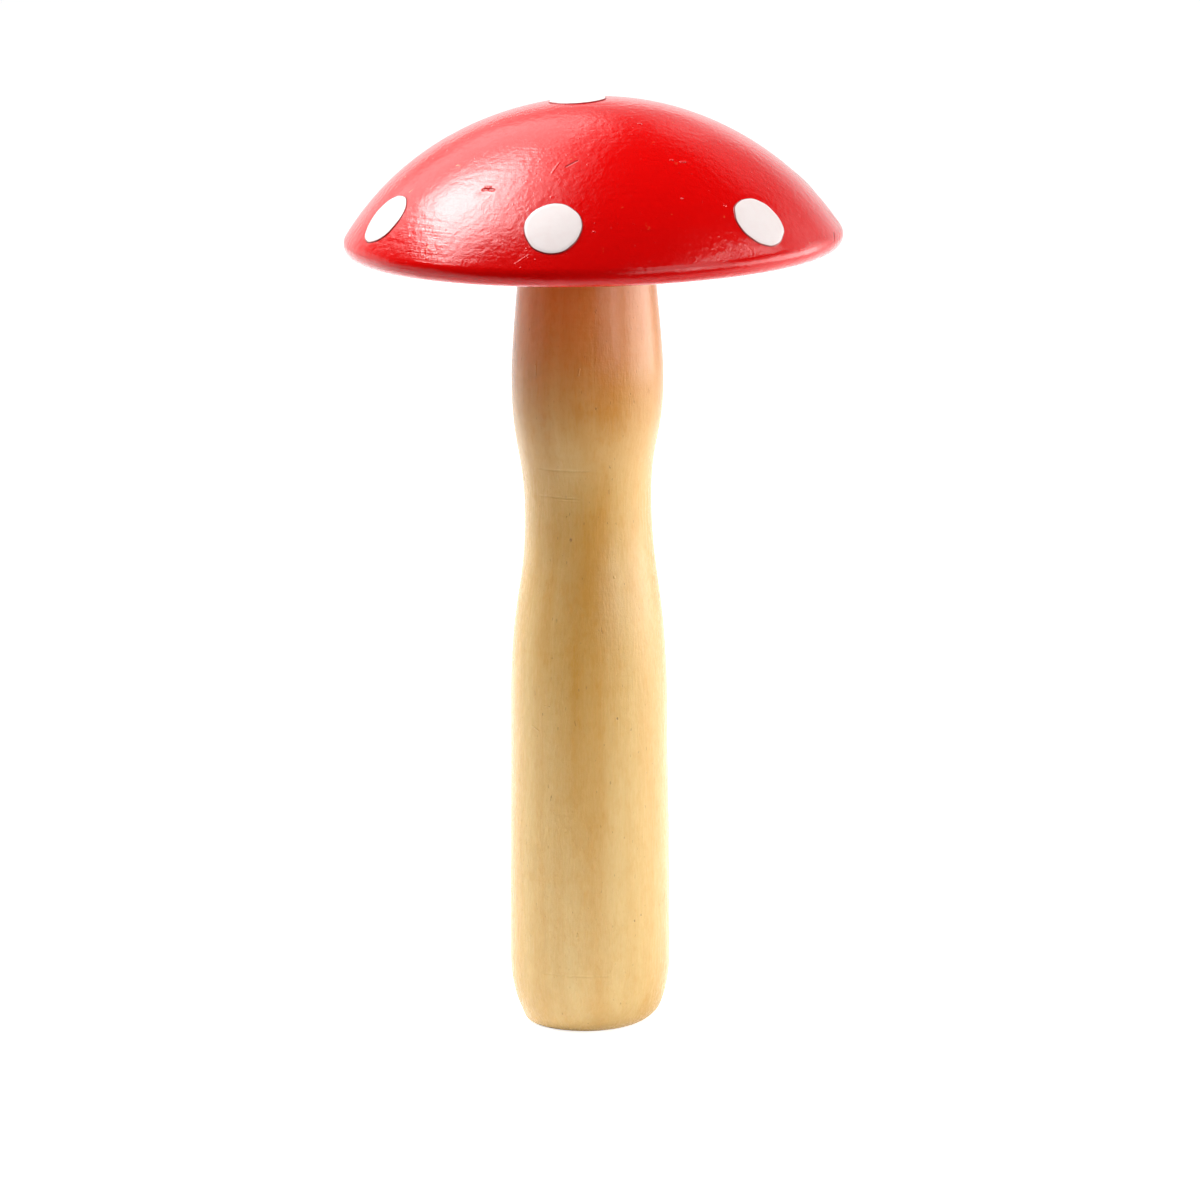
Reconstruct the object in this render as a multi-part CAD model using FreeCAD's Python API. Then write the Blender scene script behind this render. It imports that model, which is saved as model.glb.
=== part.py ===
# Darning mushroom: a turned wooden stem that carries a domed wooden head, which the sock is stretched over.
# The stem ends in a round tenon. The head has a blind bore and a spot-faced seat, and pushes onto the tenon dry,
# so it pulls off straight up. The head is enamelled red, with one white spot on its crown and a ring of six
# near its rim. Each spot is a blob of thick paint that stands a little proud of the dome.
#
# Frame, in millimetres: the origin is the centre of the foot, +Z runs up the stem, and -Y faces the viewer.
# An azimuth is in degrees about the head's centre line, from 0 at the front towards 90 at the right.
import FreeCAD, Part
import math
import os

# Foot: the flat that the mushroom stands on, and the long rounding above it.
foot_flat_radius = 5.8
foot_round_height = 7.2

# Flank of the stem: each radius, and the height where the stem has it.
grip_radius = 8.4             # widest, low on the handle
grip_height = 14.0
hip_radius = 8.25             # where the handle starts to narrow
hip_height = 32.0
waist_radius = 6.62           # narrowest, where a thread or a band can sit
waist_height = 55.0
belly_radius = 7.9            # swelling under the head
belly_height = 68.5
shoulder_radius = 6.85        # top of the turning, inside the head's seat
shoulder_taper = 0.095        # radius lost per millimetre of height at the shoulder
shoulder_break = 0.25         # broken edge of the shoulder
flank_ease = 0.5              # how far each curve keeps its direction, as a share of the height between stations
belly_ease = 0.2              # the same above the belly, which turns sooner
hip_ease = 0.62               # the same above the hip, which stays full for longer
waist_ease = 0.38             # the same below the waist

# Tenon, and the head's bore and seat that take it.
tenon_radius = 4.5
tenon_length = 10.0
tenon_chamfer = 0.6
tenon_fit = 0.03              # radial clearance of the push fit
bore_end_gap = 0.6            # air above the seated tenon
seat_depth = 0.35             # depth of the spot face in the head's underside
seat_clearance = 0.25         # radial gap between the shoulder and the spot face

# Head.
head_height_on_stem = 81.8    # height of the underside above the foot
cap_diameter = 51.4
cap_height = 15.7             # underside to crown
rim_radius = 1.3              # rounding of the rim, from the underside to the dome
cap_lean = 0.95               # degrees: the bore was drilled a little askew, and the right side rides high
cap_offset = 0.7              # the bore is also this far off the head's centre

# White spots.
spot_thickness = 0.16
crown_spot_radius = 2.95
crown_spot_miss = 1.3         # how far the crown spot is off the crown, and towards which azimuth
crown_spot_azimuth = -85.0
rim_spot_radius = 3.0
# Each rim spot's azimuth, and how far its lower edge keeps from the start of the rim's rounding.
rim_spots = ((-65.0, 0.9), (-10.0, 1.6), (45.9, 0.7), (107.5, 1.2), (170.0, 0.9), (232.5, 1.4))

# Worked out from the sizes above.
shoulder_height = head_height_on_stem + seat_depth
flank_top_height = shoulder_height - shoulder_break
tenon_top = shoulder_height + tenon_length
rim_centre_radius = cap_diameter / 2 - rim_radius
# The dome is one sphere through the crown, tangent to the rim's rounding.
dome_centre_height = (cap_height - rim_centre_radius**2 / (cap_height - 2 * rim_radius)) / 2
dome_radius = cap_height - dome_centre_height
dome_end_angle = math.atan2(rim_centre_radius, rim_radius - dome_centre_height)

full_turn = 360
origin = FreeCAD.Vector(0, 0, 0)
x_axis = FreeCAD.Vector(1, 0, 0)
y_axis = FreeCAD.Vector(0, 1, 0)
z_axis = FreeCAD.Vector(0, 0, 1)


def station(radius, height):
    """A point of a turned outline, in the XZ plane."""
    return FreeCAD.Vector(radius, 0, height)


def polar_station(centre_height, radius, angle):
    """A point at a distance from a centre on the axis, at an angle from straight up."""
    return station(radius * math.sin(angle), centre_height + radius * math.cos(angle))


def line(start, end):
    return Part.LineSegment(start, end).toShape()


def arc(start, middle, end):
    return Part.Arc(start, middle, end).toShape()


def dome_arc(centre_height, radius, start_angle, end_angle):
    """An arc about a centre on the axis, between two angles from straight up."""
    angles = (start_angle, (start_angle + end_angle) / 2, end_angle)
    return arc(*[polar_station(centre_height, radius, angle) for angle in angles])


def quarter_ellipse(start, corner, end):
    """A quarter of an ellipse that leaves start towards corner and arrives at end from corner."""
    curve = Part.BezierCurve()
    curve.setPoles([start, corner, end])
    curve.setWeight(2, math.sqrt(0.5))
    return curve.toShape()


def flowing(start, end, start_ease, end_ease, end_taper=0):
    """A curve that leaves start straight up and arrives at end with a taper."""
    rise = end.z - start.z
    start_handle = FreeCAD.Vector(0, 0, rise * start_ease)
    end_handle = FreeCAD.Vector(end_taper, 0, -1) * rise * end_ease
    curve = Part.BezierCurve()
    curve.setPoles([start, start + start_handle, end + end_handle, end])
    return curve.toShape()


def turned(edges):
    """The solid swept by a closed outline turned about the Z axis."""
    outline = Part.Face(Part.Wire(edges))
    return outline.revolve(origin, z_axis, full_turn)


def make_stem():
    """Handle, shoulder and tenon, all in one turning."""
    foot_edge = station(foot_flat_radius, 0)
    foot_corner = station(grip_radius, 0)
    foot_top = station(grip_radius, foot_round_height)
    grip = station(grip_radius, grip_height)
    hip = station(hip_radius, hip_height)
    waist = station(waist_radius, waist_height)
    belly = station(belly_radius, belly_height)
    flank_top = station(shoulder_radius, flank_top_height)
    shoulder_edge = station(shoulder_radius - shoulder_break, shoulder_height)
    tenon_root = station(tenon_radius, shoulder_height)
    tenon_shoulder = station(tenon_radius, tenon_top - tenon_chamfer)
    tenon_edge = station(tenon_radius - tenon_chamfer, tenon_top)
    tenon_centre = station(0, tenon_top)
    return turned([
        line(origin, foot_edge),
        quarter_ellipse(foot_edge, foot_corner, foot_top),
        line(foot_top, grip),
        flowing(grip, hip, flank_ease, flank_ease),
        flowing(hip, waist, hip_ease, waist_ease),
        flowing(waist, belly, flank_ease, flank_ease),
        flowing(belly, flank_top, belly_ease, flank_ease, shoulder_taper),
        line(flank_top, shoulder_edge),
        line(shoulder_edge, tenon_root),
        line(tenon_root, tenon_shoulder),
        line(tenon_shoulder, tenon_edge),
        line(tenon_edge, tenon_centre),
        line(tenon_centre, origin),
    ])


def seat_on_stem(shape):
    """Carries a shape from the head's own frame, with the underside on z = 0, to where the head sits."""
    placed = shape.copy()
    placed.rotate(origin, y_axis, -cap_lean)
    placed.translate(FreeCAD.Vector(cap_offset, 0, head_height_on_stem))
    return placed


def make_cap():
    """The domed head, with its rounded rim, flat underside, bore and seat."""
    crown = station(0, cap_height)
    dome_end = polar_station(dome_centre_height, dome_radius, dome_end_angle)
    rim_middle_angle = (dome_end_angle + math.pi) / 2
    rim_middle = polar_station(rim_radius, rim_radius, rim_middle_angle) + x_axis * rim_centre_radius
    underside_edge = station(rim_centre_radius, 0)
    head = turned([
        dome_arc(dome_centre_height, dome_radius, 0, dome_end_angle),
        arc(dome_end, rim_middle, underside_edge),
        line(underside_edge, origin),
        line(origin, crown),
    ])
    head = seat_on_stem(head)

    below = station(0, head_height_on_stem - cap_height)
    bore_top = tenon_top + bore_end_gap
    bore = Part.makeCylinder(tenon_radius + tenon_fit, bore_top - below.z, below)
    seat = Part.makeCylinder(shoulder_radius + seat_clearance, shoulder_height - below.z, below)
    return head.cut(bore.fuse(seat))


def make_spot(spot_radius, polar_angle, azimuth):
    """A disc of paint with a sloping edge, lying on the dome at an angle from the crown and an azimuth."""
    outside = dome_radius + spot_thickness
    base_angle = spot_radius / dome_radius
    top_angle = (spot_radius - spot_thickness) / dome_radius
    base_edge = polar_station(0, dome_radius, base_angle)
    top_edge = polar_station(0, outside, top_angle)
    spot = turned([
        dome_arc(0, dome_radius, 0, base_angle),
        line(base_edge, top_edge),
        dome_arc(0, outside, top_angle, 0),
        line(station(0, outside), station(0, dome_radius)),
    ])
    # Tip it off the crown towards the front, swing it round to its azimuth, and put it on the dome.
    spot.rotate(origin, x_axis, math.degrees(polar_angle))
    spot.rotate(origin, z_axis, azimuth)
    spot.translate(z_axis * dome_centre_height)
    return seat_on_stem(spot)


def make_rim_spot(azimuth, rim_gap):
    """One spot of the ring, a gap above the rim's rounding."""
    return make_spot(rim_spot_radius, dome_end_angle - (rim_spot_radius + rim_gap) / dome_radius, azimuth)


def main():
    nodes = {
        "stem": make_stem(),
        "cap": make_cap(),
        "crown_spot": make_spot(crown_spot_radius, crown_spot_miss / dome_radius, crown_spot_azimuth),
    }
    for number, (azimuth, rim_gap) in enumerate(rim_spots, start=1):
        nodes[f"rim_spot_{number}"] = make_rim_spot(azimuth, rim_gap)

    os.makedirs("parts", exist_ok=True)
    for name, shape in nodes.items():
        shape.exportStep(f"parts/{name}.step")
        print(f"{name}: {len(shape.Solids)} solid, {shape.Volume:.1f} mm3, valid {shape.isValid()}")


main()
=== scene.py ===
import bpy
import math
import numpy as np
from mathutils import Matrix, Vector


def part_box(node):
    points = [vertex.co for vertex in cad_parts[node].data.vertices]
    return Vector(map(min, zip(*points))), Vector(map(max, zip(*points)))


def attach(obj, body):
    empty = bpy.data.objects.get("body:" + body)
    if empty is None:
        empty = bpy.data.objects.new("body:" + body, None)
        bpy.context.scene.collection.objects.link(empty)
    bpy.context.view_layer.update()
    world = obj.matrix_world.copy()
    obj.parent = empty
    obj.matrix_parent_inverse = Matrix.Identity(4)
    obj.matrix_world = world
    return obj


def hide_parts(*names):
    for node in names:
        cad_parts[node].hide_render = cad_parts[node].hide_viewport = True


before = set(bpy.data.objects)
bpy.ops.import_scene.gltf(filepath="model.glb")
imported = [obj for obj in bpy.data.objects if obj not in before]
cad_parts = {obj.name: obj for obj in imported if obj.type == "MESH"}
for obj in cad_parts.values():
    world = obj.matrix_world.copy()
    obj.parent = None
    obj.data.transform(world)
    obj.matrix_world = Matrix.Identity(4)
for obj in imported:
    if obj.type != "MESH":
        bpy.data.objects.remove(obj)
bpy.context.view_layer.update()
mm = 0.001
print("frame loaded:", ", ".join(sorted(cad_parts)))


# Shapes are in millimetres until shellMesh turns them into metres.

def linkedObject(name, data):
    made = bpy.data.objects.new(name, data)
    bpy.context.scene.collection.objects.link(made)
    return made


def shellMesh(name, rings, fields, material):
    # A closed skin through rings of points, (row, column, xyz). Columns wrap round, and the first and last
    # rows each shrink to one pole. Each quad runs column, next column, next row, so rows going up face out.
    rows, columns = rings.shape[:2]

    def flat(values):
        values = np.asarray(values, float)
        middle = values[1:-1].reshape((rows - 2) * columns, -1)
        firstPole, lastPole = (values[row].reshape(columns, -1).mean(0) for row in (0, -1))
        return np.vstack([firstPole, middle, lastPole])

    points = flat(rings) * mm
    here = 1 + np.arange((rows - 2) * columns).reshape(rows - 2, columns)
    beside = np.roll(here, -1, axis=1)
    quads = np.stack([here[:-1], beside[:-1], beside[1:], here[1:]], axis=-1).reshape(-1, 4)
    lastPoint = len(points) - 1
    startFan = np.stack([np.zeros(columns, int), beside[0], here[0]], axis=-1)
    endFan = np.stack([here[-1], beside[-1], np.full(columns, lastPoint)], axis=-1)
    corners = np.concatenate([quads.ravel(), startFan.ravel(), endFan.ravel()])
    sizes = np.concatenate([np.full(len(quads), 4), np.full(2 * columns, 3)])

    mesh = bpy.data.meshes.new(name)
    mesh.vertices.add(len(points))
    mesh.vertices.foreach_set("co", points.astype(np.float32).ravel())
    mesh.loops.add(len(corners))
    mesh.loops.foreach_set("vertex_index", corners.astype(np.int32))
    mesh.polygons.add(len(sizes))
    mesh.polygons.foreach_set("loop_start", np.concatenate([[0], np.cumsum(sizes)[:-1]]).astype(np.int32))
    mesh.polygons.foreach_set("loop_total", sizes.astype(np.int32))
    mesh.update(calc_edges=True)
    mesh.shade_smooth()
    for fieldName, values in fields.items():
        layer = mesh.attributes.new(fieldName, "FLOAT", "POINT")
        layer.data.foreach_set("value", flat(values).astype(np.float32).ravel())
    mesh.materials.append(material)
    return linkedObject(name, mesh)


def lengthAlong(path):
    # How far along a path each of its points lies: the running sum of the steps between them.
    return np.concatenate([[0], np.cumsum(np.linalg.norm(np.diff(path, axis=0), axis=-1))])


def spaced(path, spacing):
    # Even steps of about the spacing along a path of points, by straight-line interpolation on its length.
    path = np.asarray(path, float)
    length = lengthAlong(path)
    steps = max(2, int(round(length[-1] / spacing)) + 1)
    at = np.linspace(0, length[-1], steps)
    return np.stack([np.interp(at, length, path[:, axis]) for axis in range(path.shape[1])], axis=-1)


def joined(stretches):
    # Stretches of a profile end to end, each without the point that it shares with the one before.
    return np.vstack([stretches[0]] + [stretch[1:] for stretch in stretches[1:]])


def straightRuns(points, spacings):
    # A straight stretch from each point to the next, each with its own spacing.
    return [spaced([start, end], spacing) for start, end, spacing in zip(points, points[1:], spacings)]


def turnedRings(profile, around):
    # Rings of points (r times the direction, z), one for each (r, z) of a profile, round the axis.
    profile = np.asarray(profile, float)
    level = profile[:, None, :1] * around[None]
    return np.concatenate([level, np.repeat(profile[:, None, 1:], len(around), axis=1)], axis=-1)


def arcPath(centre, radius, startAngle, endAngle, count=60):
    # Points (r, z) about a centre: r = cr + R sin(angle), z = cz + R cos(angle), angle from straight up.
    angle = np.linspace(startAngle, endAngle, count)
    return np.stack([centre[0] + radius * np.sin(angle), centre[1] + radius * np.cos(angle)], axis=-1)


def slowWaves(seed, count, longest, shortest):
    # A smooth field over space: a mean of cosines, each across its own direction at its own wavelength.
    draw = np.random.default_rng(seed)
    ways = draw.normal(size=(count, 3))
    ways /= np.linalg.norm(ways, axis=1, keepdims=True)
    waves = ways * (2 * math.pi / draw.uniform(shortest, longest, (count, 1)))
    phases = draw.uniform(0, 2 * math.pi, count)

    def field(points):
        return np.cos(np.asarray(points) @ waves.T + phases).sum(-1) / math.sqrt(count)
    return field


def addNode(tree, kind, inputs=None, **settings):
    # A node with its settings, and then its inputs: a socket is linked, and anything else is set.
    made = tree.nodes.new(kind)
    for key, value in settings.items():
        setattr(made, key, value)
    for key, value in (inputs or {}).items():
        if isinstance(value, bpy.types.NodeSocket):
            tree.links.new(value, made.inputs[key])
        else:
            made.inputs[key].default_value = value
    return made


def calc(tree, operation, first, second=0.0, third=0.0, clamp=False):
    inputs = {0: first, 1: second, 2: third}
    return addNode(tree, "ShaderNodeMath", inputs, operation=operation, use_clamp=clamp).outputs[0]


def vectorCalc(tree, operation, first, second=(0, 0, 0), scale=1.0):
    # The outputs: the first is a vector, and "Value" is a length or a dot product.
    inputs = {0: first, 1: second, 3: scale}
    return addNode(tree, "ShaderNodeVectorMath", inputs, operation=operation).outputs


def ramped(tree, value, low, high, toLow=0.0, toHigh=1.0):
    # Smoothstep from low to high, between two results.
    inputs = {"Value": value, "From Min": low, "From Max": high, "To Min": toLow, "To Max": toHigh}
    return addNode(tree, "ShaderNodeMapRange", inputs, interpolation_type="SMOOTHSTEP").outputs["Result"]


def blended(tree, share, first, second, kind="MIX"):
    inputs = {0: share, 6: first, 7: second}
    return addNode(tree, "ShaderNodeMix", inputs, data_type="RGBA", blend_type=kind).outputs[2]


def noiseOf(tree, vector, scale=1.0, detail=3.0, roughness=0.5):
    inputs = {"Vector": vector, "Scale": scale, "Detail": detail, "Roughness": roughness}
    return addNode(tree, "ShaderNodeTexNoise", inputs).outputs["Fac"]


def stretched(tree, vector, across, upward):
    # A vector times one number in X and Y and another in Z.
    return vectorCalc(tree, "MULTIPLY", vector, (across, across, upward))[0]


def axesOf(tree, vector):
    return addNode(tree, "ShaderNodeSeparateXYZ", {0: vector}).outputs


def newGroup(name, inputs, outputs):
    # A group, its inputs and its outputs. The size of a value tells a number, a vector and a colour apart.
    group = bpy.data.node_groups.new(name, "ShaderNodeTree")
    kinds = {1: "NodeSocketFloat", 3: "NodeSocketVector", 4: "NodeSocketColor"}
    for key, value in inputs.items():
        socket = group.interface.new_socket(name=key, in_out="INPUT", socket_type=kinds[np.size(value)])
        socket.default_value = value
    for key in outputs:
        kind = kinds[4] if key == "Color" else kinds[1]
        group.interface.new_socket(name=key, in_out="OUTPUT", socket_type=kind)
    return group, group.nodes.new("NodeGroupInput").outputs, group.nodes.new("NodeGroupOutput").inputs


def useGroup(tree, group, inputs):
    return addNode(tree, "ShaderNodeGroup", inputs, node_tree=group).outputs


grainFigure = {
    "drift": (0.09, 0.022, 2.0),   # noise that bends the rings: waves per mm across and up, detail
    "wander": 5.0,                 # how far it bends them, in mm
    "lateWood": (0.72, 0.80),      # how far through a ring it stops darkening, and starts to pale
    "layers": {                    # waves per mm across and up, detail, roughness; from, to, share of dark
        "broad": (0.26, 0.011, 2.0, 0.5, 0.34, 0.68, 0.30),
        "band": (0.95, 0.03, 2.0, 0.5, 0.36, 0.70, 0.10),
        "fibre": (4.0, 0.40, 4.0, 0.65, 0.36, 0.70, 0.10),
        "hair": (3.4, 1.15, 3.0, 0.6, 0.44, 0.72, 0.16),
        "mottle": (0.8, 0.55, 3.0, 0.55, 0.45, 0.74, 0.14),
    },
    "frontShadeBreak": (0.2, 0.8, 0.75, 1.0),     # from and to of the broad noise, and the shares of painted front shade there
    "flecks": (3.9, 1.3, 1.0, 0.735, 0.79),  # waves per mm across and up, detail; from and to
    "fleckTint": (0.42, 0.30, 0.20, 1),
}


def makeTurnedGrain():
    # Growth rings about a pith outside the stem, fibres and short dark flecks along Z.
    # Ring = distance from the pith over the spacing, bent by slow noise; its fraction gives pale and dark.
    group, given, result = newGroup("turnedGrain", {
        "Position": (0, 0, 0),
        "Pale": (0.8, 0.6, 0.4, 1),
        "Dark": (0.6, 0.4, 0.2, 1),
        "Pith X": -16.0,
        "Pith Y": 25.0,
        "Ring Spacing": 2.4,
        "Ring Strength": 0.08,
        "Fleck Strength": 0.5,
        "Painted Shade": 0.0,
    }, ("Color", "Relief", "Fibre"))
    figure = grainFigure
    place = stretched(group, given["Position"], 1 / mm, 1 / mm)
    across, upward, detail = figure["drift"]
    drift = noiseOf(group, stretched(group, place, across, upward), detail=detail)
    axes = axesOf(group, place)
    fromPith = [calc(group, "SUBTRACT", axes[way], given[pith])
                for way, pith in enumerate(("Pith X", "Pith Y"))]
    squares = [calc(group, "POWER", run, 2.0) for run in fromPith]
    distance = calc(group, "SQRT", calc(group, "ADD", *squares))
    bent = calc(group, "MULTIPLY_ADD", drift, figure["wander"], distance)
    ring = calc(group, "FRACT", calc(group, "DIVIDE", bent, given["Ring Spacing"]))
    darkened, paling = figure["lateWood"]
    lateWood = calc(group, "MULTIPLY", ramped(group, ring, 0.0, darkened), ramped(group, ring, 1.0, paling))
    shares = [calc(group, "MULTIPLY", lateWood, given["Ring Strength"])]
    noises = {}
    for layer, (across, upward, detail, roughness, low, high, share) in figure["layers"].items():
        noises[layer] = noiseOf(group, stretched(group, place, across, upward), 1.0, detail, roughness)
        shares.append(ramped(group, noises[layer], low, high, 0.0, share))
    # The painted shade up the stem's front, broken up by the broad noise, is added to the dark share.
    dark = calc(group, "MULTIPLY", given["Painted Shade"], ramped(group, noises["broad"], *figure["frontShadeBreak"]))
    for share in shares:
        dark = calc(group, "ADD", dark, share, clamp=True)
    color = blended(group, dark, given["Pale"], given["Dark"])
    across, upward, detail, low, high = figure["flecks"]
    fleckNoise = noiseOf(group, stretched(group, place, across, upward), detail=detail)
    fleck = calc(group, "MULTIPLY", ramped(group, fleckNoise, low, high), given["Fleck Strength"])
    darker = blended(group, 1.0, color, figure["fleckTint"], "MULTIPLY")
    group.links.new(blended(group, fleck, color, darker), result["Color"])
    fibres = calc(group, "MULTIPLY_ADD", noises["hair"], 0.5, noises["fibre"])
    group.links.new(calc(group, "SUBTRACT", fibres, fleck), result["Relief"])
    group.links.new(noises["fibre"], result["Fibre"])
    return group


def makeLatheLines():
    # Fine lines round a turned piece: noise that is quick along the profile and slow round the axis.
    group, given, result = newGroup("latheLines", {
        "Along": 0.0,
        "Position": (0, 0, 0),
        "Lines per mm": 4.0,
        "Run": 80.0,
    }, ("Height", "Streak"))
    flatPlace = stretched(group, given["Position"], 1, 0)
    sideways = vectorCalc(group, "SCALE", flatPlace, scale=given["Run"])[0]
    quick = calc(group, "MULTIPLY", given["Along"], given["Lines per mm"])
    upright = addNode(group, "ShaderNodeCombineXYZ", {"Z": quick}).outputs[0]
    place = vectorCalc(group, "ADD", sideways, upright)[0]
    group.links.new(noiseOf(group, place, detail=4.0, roughness=0.65), result["Height"])
    wide = stretched(group, place, 1, 0.22)
    group.links.new(noiseOf(group, wide, detail=3.0), result["Streak"])
    return group


def makeCaughtDust():
    # Grains of dust caught in the finish: small bumps at the centres of a few cells of a cell pattern.
    group, given, result = newGroup("caughtDust", {
        "Position": (0, 0, 0),
        "Cell": 2.5,
        "Size": 0.10,
        "Share": 0.3,
    }, ("Bump",))
    scale = calc(group, "DIVIDE", 1 / mm, given["Cell"])
    cells = addNode(group, "ShaderNodeTexVoronoi", {"Vector": given["Position"], "Scale": scale})
    reach = calc(group, "DIVIDE", given["Size"], given["Cell"])
    bump = ramped(group, calc(group, "DIVIDE", cells.outputs["Distance"], reach), 1.0, 0.0)
    chosen = addNode(group, "ShaderNodeSeparateColor", {0: cells.outputs["Color"]}).outputs[0]
    kept = calc(group, "LESS_THAN", chosen, given["Share"])
    group.links.new(calc(group, "MULTIPLY", bump, kept), result["Bump"])
    return group


def makeNick():
    # A short mark from one point to another: distance to the segment over its width, 1 on it and 0 beside it.
    # Along = clamp((P - A).(B - A) / |B - A|^2), distance = |P - A - along (B - A)|.
    group, given, result = newGroup("nick", {
        "Position": (0, 0, 0),
        "Start": (0, 0, 0),
        "End": (0, 0, 1),
        "Width": 0.1,
    }, ("Mask",))
    place = stretched(group, given["Position"], 1 / mm, 1 / mm)
    run = vectorCalc(group, "SUBTRACT", given["End"], given["Start"])[0]
    fromStart = vectorCalc(group, "SUBTRACT", place, given["Start"])[0]
    share = calc(group, "DIVIDE", vectorCalc(group, "DOT_PRODUCT", fromStart, run)["Value"],
                 vectorCalc(group, "DOT_PRODUCT", run, run)["Value"], clamp=True)
    nearest = vectorCalc(group, "SCALE", run, scale=share)[0]
    gap = vectorCalc(group, "SUBTRACT", fromStart, nearest)[0]
    distance = vectorCalc(group, "LENGTH", gap)["Value"]
    group.links.new(ramped(group, calc(group, "DIVIDE", distance, given["Width"]), 1.0, 0.2), result["Mask"])
    return group


def makeToolMark():
    # A fine groove part of the way round at one height: 1 where |z - height| is small against the width, and
    # where the point's direction round the axis keeps within the reach (a cosine) of the way it faces.
    group, given, result = newGroup("toolMark", {
        "Position": (0, 0, 0),
        "Height": 0.0,
        "Width": 0.1,
        "Facing": (0, -1, 0),
        "Reach": 0.9,
    }, ("Mask",))
    place = stretched(group, given["Position"], 1 / mm, 1 / mm)
    gap = calc(group, "ABSOLUTE", calc(group, "SUBTRACT", axesOf(group, place)[2], given["Height"]))
    near = ramped(group, calc(group, "DIVIDE", gap, given["Width"]), 1.0, 0.2)
    outward = vectorCalc(group, "NORMALIZE", stretched(group, place, 1, 0))[0]
    side = vectorCalc(group, "DOT_PRODUCT", outward, given["Facing"])["Value"]
    past = calc(group, "SUBTRACT", side, given["Reach"])
    group.links.new(calc(group, "MULTIPLY", near, ramped(group, past, 0.0, 0.06)), result["Mask"])
    return group


turnedGrain = makeTurnedGrain()
latheLines = makeLatheLines()
caughtDust = makeCaughtDust()
nick = makeNick()
toolMark = makeToolMark()


def clearedTree(holder):
    holder.use_nodes = True
    holder.node_tree.nodes.clear()
    return holder.node_tree


def newFinish(name):
    # A material, its tree, and the place on the object.
    material = bpy.data.materials.new(name)
    tree = clearedTree(material)
    return material, tree, addNode(tree, "ShaderNodeTexCoord").outputs["Object"]


def shaded(tree, inputs):
    shader = addNode(tree, "ShaderNodeBsdfPrincipled", inputs)
    addNode(tree, "ShaderNodeOutputMaterial", {"Surface": shader.outputs[0]})


def fieldOf(tree, name):
    return addNode(tree, "ShaderNodeAttribute", attribute_name=name).outputs["Fac"]


def bumped(tree, relief, heights):
    # Bump nodes in a row, each over the one before, with its depth in mm and its strength.
    normal = None
    for layer, height in heights.items():
        depth, strength = relief[layer]
        inputs = {"Height": height, "Distance": depth * mm, "Strength": strength}
        if normal is not None:
            inputs["Normal"] = normal
        normal = addNode(tree, "ShaderNodeBump", inputs).outputs[0]
    return normal


def nicked(tree, position, nicks):
    # The depth of all the nicks together, in mm.
    depths = 0.0
    for start, end, width, depth in nicks:
        inputs = {"Position": position, "Start": start, "End": end, "Width": width}
        depths = calc(tree, "MULTIPLY_ADD", useGroup(tree, nick, inputs)["Mask"], depth, depths)
    return depths


woodFinish = {
    "pale": (0.850, 0.615, 0.262, 1),
    "dark": (0.700, 0.370, 0.080, 1),
    "paintedShadeUnderHead": (0.80, 0.50, 0.34, 1),        # painted shade and painted red bounce light from the head's underside: darker and redder under the head
    "bareTint": (1.04, 1.0, 0.95, 1),      # unvarnished wood is paler and cooler
    "markTint": (0.22, 0.10, 0.03, 1),
    "smearTint": (0.62, 0.03, 0.02, 1),    # red that ran onto the shoulder's edge
    "streaks": (0.58, 0.72, 0.0, 0.12),    # from and to of the lathe lines' noise, and the shares of dark
    "markShade": (0.008, 0.05, 0.0, 0.55), # from and to of a mark's depth in mm, and the shares of its tint
    "smearBreak": (0.42, 0.60),    # from and to of the pores' noise that breaks the smear up
    "lathe": {"Lines per mm": 3.0, "Run": 60.0},
    "dust": {"Cell": 3.2, "Size": 0.16, "Share": 0.2},
    "poreScale": 2600.0,           # of the noise, in waves per metre
    "rippleScale": (520, 160),     # the same across and up
    "relief": {                    # depth in mm and strength of each
        "grain": (0.035, 0.6),
        "ripple": (0.12, 0.4),     # slow unevenness of the varnish
        "lines": (0.016, 0.6),
        "pores": (0.035, 0.5),
        "dust": (0.10, 0.7),
        "marks": (1.0, 1.0),       # their own depths are in mm
    },
    "varnishRoughness": (0.20, 0.14, -0.11),     # at the least, and what the fibres and the band of painted shade under the head add
    "bareRoughness": 0.68,
    "uniform": {"IOR": 1.45},
    "nicks": (                     # start, end, width and depth in mm; a depth below 0 is a raised fleck
        ((-5.30, -5.80, 70.8), (-5.25, -5.85, 69.9), 0.13, -0.05),
        ((-0.80, -7.85, 70.7), (-0.90, -7.85, 70.1), 0.13, -0.05),
        ((-1.80, -6.42, 52.7), (-1.80, -6.42, 52.6), 0.22, 0.06),
        ((2.70, -6.46, 48.8), (2.72, -6.46, 48.7), 0.16, -0.05),
        ((2.90, -7.70, 34.1), (2.92, -7.70, 34.0), 0.14, 0.05),
        ((-4.60, -6.80, 35.2), (-4.10, -7.10, 35.2), 0.11, -0.04),
        ((-5.90, -5.75, 32.9), (-5.20, -6.35, 32.5), 0.13, -0.04),
        ((5.27, -6.54, 12.8), (5.29, -6.53, 12.7), 0.14, 0.05),
        ((4.60, -7.03, 12.3), (4.62, -7.02, 12.2), 0.16, 0.05),
        ((-1.30, -8.30, 11.2), (-1.28, -8.30, 10.9), 0.14, -0.05),
    ),
    "toolMarks": (                 # height and width, angle that it faces, half the angle it takes, depth
        (59.9, 0.18, -112, 30, 0.018),
        (59.3, 0.14, -100, 16, 0.008),
        (57.0, 0.16, -118, 24, 0.018),
        (56.7, 0.13, -108, 18, 0.012),
        (56.3, 0.13, -100, 12, 0.010),
        (6.6, 0.18, -100, 30, 0.016),
    ),
}


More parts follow.
